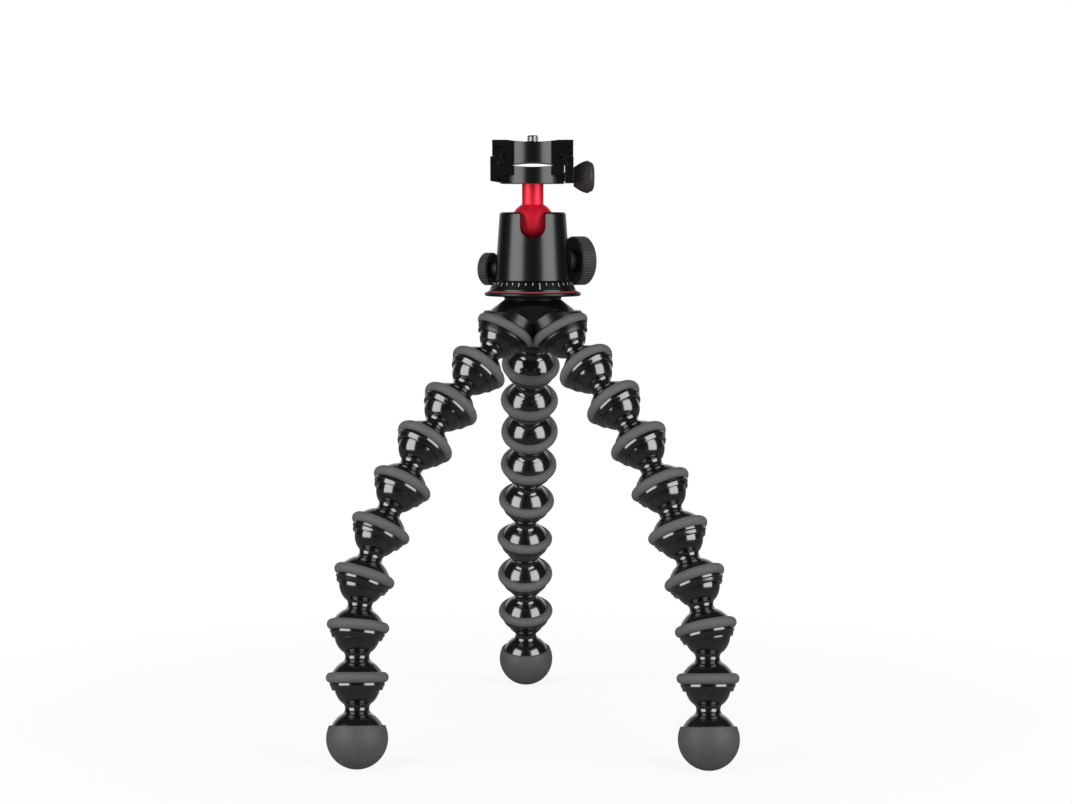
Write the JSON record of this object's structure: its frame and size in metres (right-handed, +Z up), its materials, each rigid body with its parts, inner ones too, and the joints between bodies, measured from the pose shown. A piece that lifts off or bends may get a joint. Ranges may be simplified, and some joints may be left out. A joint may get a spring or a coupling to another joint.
{
  "type": "flexible leg tripod",
  "caption": "Small tripod with bendable legs of ball links and grip rings, a ball head with lock knobs and a quick-release plate for a camera.",
  "frame": {"origin": "on the ground under the hub's axis", "axes": "+Z up, -Y to the front of the head (its drop notch), +X to the right of the picture"},
  "size_m": [0.218, 0.2679, 0.3341],
  "materials": {
    "link_plastic": "moulded gloss black",
    "ring_rubber": "matte mid-grey rubber",
    "foot_rubber": "matte dark grey rubber",
    "friction_pad": "matte red rubber",
    "black_anodised": "satin black anodised",
    "red_anodised": "satin red anodised",
    "knob_rubber": "ribbed rubberised dark grey",
    "cup_plastic": "plain acetal",
    "steel": "bright turned steel",
    "brass": "turned brass"
  },
  "bodies": {
    "hub": {"hub": "link_plastic", "hub_rings": "ring_rubber", "hub_pad": "friction_pad", "hub_screw": "steel"},
    "head_base": {"pan_base": "black_anodised", "base_bush": "brass", "pan_clip": "steel"},
    "housing": {"housing": "black_anodised", "pressure_cup": "cup_plastic"},
    "lock_knob": {"lock_knob": "knob_rubber", "lock_stud": "steel"},
    "pan_knob": {"pan_knob": "knob_rubber", "pan_stud": "steel"},
    "ball": {"ball_stem": "red_anodised"},
    "clamp": {"clamp_body": "black_anodised", "clamp_bolt": "steel", "guide_pins": "steel"},
    "jaw": {"clamp_jaw": "black_anodised"},
    "clamp_knob": {"clamp_knob": "knob_rubber", "clamp_screw": "steel"},
    "plate": {"plate": "black_anodised"},
    "camera_screw": {"camera_screw": "steel"},
    "left_1": {"left_link_1": "link_plastic"},
    "left_2": {"left_link_2": "link_plastic"},
    "left_3": {"left_link_3": "link_plastic"},
    "left_4": {"left_link_4": "link_plastic"},
    "left_5": {"left_link_5": "link_plastic"},
    "left_6": {"left_link_6": "link_plastic"},
    "left_7": {"left_link_7": "link_plastic"},
    "left_8": {"left_link_8": "link_plastic"},
    "left_foot": {"left_foot_link": "link_plastic", "left_foot": "foot_rubber"},
    "right_1": {"right_link_1": "link_plastic"},
    "right_2": {"right_link_2": "link_plastic"},
    "right_3": {"right_link_3": "link_plastic"},
    "right_4": {"right_link_4": "link_plastic"},
    "right_5": {"right_link_5": "link_plastic"},
    "right_6": {"right_link_6": "link_plastic"},
    "right_7": {"right_link_7": "link_plastic"},
    "right_8": {"right_link_8": "link_plastic"},
    "right_foot": {"right_foot_link": "link_plastic", "right_foot": "foot_rubber"},
    "back_1": {"back_link_1": "link_plastic"},
    "back_2": {"back_link_2": "link_plastic"},
    "back_3": {"back_link_3": "link_plastic"},
    "back_4": {"back_link_4": "link_plastic"},
    "back_5": {"back_link_5": "link_plastic"},
    "back_6": {"back_link_6": "link_plastic"},
    "back_7": {"back_link_7": "link_plastic"},
    "back_8": {"back_link_8": "link_plastic"},
    "back_foot": {"back_foot_link": "link_plastic", "back_foot": "foot_rubber"}
  },
  "joints": [
    {"name": "head_lift", "type": "slide", "parent": "hub", "child": "head_base", "axis": [0, 0, 1], "range_m": [0, 0.016]},
    {"name": "pan", "type": "hinge", "parent": "head_base", "child": "housing", "pos_m": [0, 0, 0.24818], "axis": [0, 0, 1], "continuous": true},
    {"name": "ball_tilt", "type": "hinge", "parent": "housing", "child": "ball", "pos_m": [0, 0, 0.28519], "axis": [1, 0, 0], "range_deg": [-28, 90]},
    {"name": "clamp_turn", "type": "hinge", "parent": "ball", "child": "clamp", "pos_m": [0, 0, 0.28519], "axis": [0, 0, 1], "continuous": true},
    {"name": "clamp_knob_turn", "type": "hinge", "parent": "jaw", "child": "clamp_knob", "pos_m": [0.0179, 0, 0.31118], "axis": [1, 0, 0], "range_deg": [0, 1080]},
    {"name": "jaw_slide", "type": "slide", "parent": "clamp", "child": "jaw", "axis": [1, 0, 0], "range_m": [0, 0.0045]},
    {"name": "plate_slide", "type": "slide", "parent": "clamp", "child": "plate", "axis": [0, 1, 0], "range_m": [-0.036, 0.036]},
    {"name": "camera_screw_turn", "type": "hinge", "parent": "plate", "child": "camera_screw", "pos_m": [0, 0, 0.31768], "axis": [0, 0, 1], "continuous": true},
    {"name": "lock_knob_turn", "type": "hinge", "parent": "housing", "child": "lock_knob", "pos_m": [0, 0, 0.26459], "axis": [0.8746, 0.4848, 0], "range_deg": [0, 540]},
    {"name": "pan_knob_turn", "type": "hinge", "parent": "housing", "child": "pan_knob", "pos_m": [0, 0, 0.25999], "axis": [-0.8746, 0.4848, 0], "range_deg": [0, 360]},
    {"name": "left_bend_1", "type": "hinge", "parent": "hub", "child": "left_1", "pos_m": [-0.01723, -0.00995, 0.22309], "axis": [-0.6157, 0.788, 0], "range_deg": [-44, 22.52]},
    {"name": "left_bend_2", "type": "hinge", "parent": "left_1", "child": "left_2", "pos_m": [-0.03201, -0.0215, 0.20366], "axis": [0.6293, -0.7771, 0], "range_deg": [-33.99, 36]},
    {"name": "left_bend_3", "type": "hinge", "parent": "left_2", "child": "left_3", "pos_m": [-0.04685, -0.03351, 0.18457], "axis": [-0.6884, 0.7254, 0], "range_deg": [-33.46, 36.29]},
    {"name": "left_bend_4", "type": "hinge", "parent": "left_3", "child": "left_4", "pos_m": [-0.06033, -0.04631, 0.16499], "axis": [0.682, -0.7314, 0], "range_deg": [-43, 27]},
    {"name": "left_bend_5", "type": "hinge", "parent": "left_4", "child": "left_5", "pos_m": [-0.0718, -0.057, 0.143], "axis": [-0.6293, 0.7771, 0], "range_deg": [-31, 38.87]},
    {"name": "left_bend_6", "type": "hinge", "parent": "left_5", "child": "left_6", "pos_m": [-0.08276, -0.06588, 0.11998], "axis": [0.7193, -0.6947, 0], "range_deg": [-41.64, 28.02]},
    {"name": "left_bend_7", "type": "hinge", "parent": "left_6", "child": "left_7", "pos_m": [-0.09054, -0.07393, 0.09541], "axis": [-0.9563, 0.2924, 0], "range_deg": [-26.88, 40.08]},
    {"name": "left_bend_8", "type": "hinge", "parent": "left_7", "child": "left_8", "pos_m": [-0.09265, -0.08083, 0.0694], "axis": [0.9994, 0.0349, 0], "range_deg": [-38.38, 30.99]},
    {"name": "left_bend_9", "type": "hinge", "parent": "left_8", "child": "left_foot", "pos_m": [-0.09247, -0.08598, 0.04289], "axis": [-0.9994, -0.0349, 0], "range_deg": [-35, 35]},
    {"name": "right_bend_1", "type": "hinge", "parent": "hub", "child": "right_1", "pos_m": [0.01723, -0.00995, 0.22309], "axis": [-0.6884, -0.7254, 0], "range_deg": [-46.5, 19.14]},
    {"name": "right_bend_2", "type": "hinge", "parent": "right_1", "child": "right_2", "pos_m": [0.03144, -0.02343, 0.2045], "axis": [0.6494, 0.7604, 0], "range_deg": [-35.64, 34.25]},
    {"name": "right_bend_3", "type": "hinge", "parent": "right_2", "child": "right_3", "pos_m": [0.04615, -0.03599, 0.18566], "axis": [-0.6756, -0.7373, 0], "range_deg": [-29.73, 40.22]},
    {"name": "right_bend_4", "type": "hinge", "parent": "right_3", "child": "right_4", "pos_m": [0.05908, -0.04784, 0.16513], "axis": [0.6691, 0.7431, 0], "range_deg": [-42.5, 27.5]},
    {"name": "right_bend_5", "type": "hinge", "parent": "right_4", "child": "right_5", "pos_m": [0.07001, -0.05768, 0.14249], "axis": [-0.7373, -0.6756, 0], "range_deg": [-30.51, 39.27]},
    {"name": "right_bend_6", "type": "hinge", "parent": "right_5", "child": "right_6", "pos_m": [0.07871, -0.06718, 0.11876], "axis": [0.7431, 0.6691, 0], "range_deg": [-36, 34]},
    {"name": "right_bend_7", "type": "hinge", "parent": "right_6", "child": "right_7", "pos_m": [0.08705, -0.07644, 0.09481], "axis": [-0.8339, -0.5519, 0], "range_deg": [-27.57, 42.05]},
    {"name": "right_bend_8", "type": "hinge", "parent": "right_7", "child": "right_8", "pos_m": [0.09215, -0.08415, 0.06944], "axis": [0.9994, 0.0349, 0], "range_deg": [-40.38, 26.9]},
    {"name": "right_bend_9", "type": "hinge", "parent": "right_8", "child": "right_foot", "pos_m": [0.09232, -0.08906, 0.04289], "axis": [-0.9994, -0.0349, 0], "range_deg": [-35.5, 34.5]},
    {"name": "back_bend_1", "type": "hinge", "parent": "hub", "child": "back_1", "pos_m": [0, 0.0199, 0.22309], "axis": [0.9962, 0.0872, 0], "range_deg": [-37, 29.81]},
    {"name": "back_bend_2", "type": "hinge", "parent": "back_1", "child": "back_2", "pos_m": [-0.00142, 0.03609, 0.20152], "axis": [-0.999, -0.0436, 0], "range_deg": [-34.59, 35.35]},
    {"name": "back_bend_3", "type": "hinge", "parent": "back_2", "child": "back_3", "pos_m": [-0.00213, 0.05245, 0.18006], "axis": [1, -0.0087, 0], "range_deg": [-41.64, 28.28]},
    {"name": "back_bend_4", "type": "hinge", "parent": "back_3", "child": "back_4", "pos_m": [-0.00197, 0.07121, 0.16064], "axis": [-0.999, -0.0436, 0], "range_deg": [-41.41, 28.49]},
    {"name": "back_bend_5", "type": "hinge", "parent": "back_4", "child": "back_5", "pos_m": [-0.00268, 0.08763, 0.13922], "axis": [0.9945, 0.1045, 0], "range_deg": [-28.5, 41.39]},
    {"name": "back_bend_6", "type": "hinge", "parent": "back_5", "child": "back_6", "pos_m": [-0.00414, 0.10146, 0.11607], "axis": [-0.9954, -0.0958, 0], "range_deg": [-43, 27]},
    {"name": "back_bend_7", "type": "hinge", "parent": "back_6", "child": "back_7", "pos_m": [-0.00515, 0.11196, 0.09122], "axis": [0.9997, -0.0262, 0], "range_deg": [-42.06, 27.75]},
    {"name": "back_bend_8", "type": "hinge", "parent": "back_7", "child": "back_8", "pos_m": [-0.00479, 0.12546, 0.06784], "axis": [-0.9997, 0.0262, 0], "range_deg": [-42.5, 27.5]},
    {"name": "back_bend_9", "type": "hinge", "parent": "back_8", "child": "back_foot", "pos_m": [-0.00453, 0.13578, 0.04289], "axis": [0.9997, -0.0262, 0], "range_deg": [-23.5, 46.5]}
  ],
  "couplings": [
    {"joint": "clamp_knob_turn", "follows": "jaw_slide", "rad_per_m": 4188.8}
  ]
}
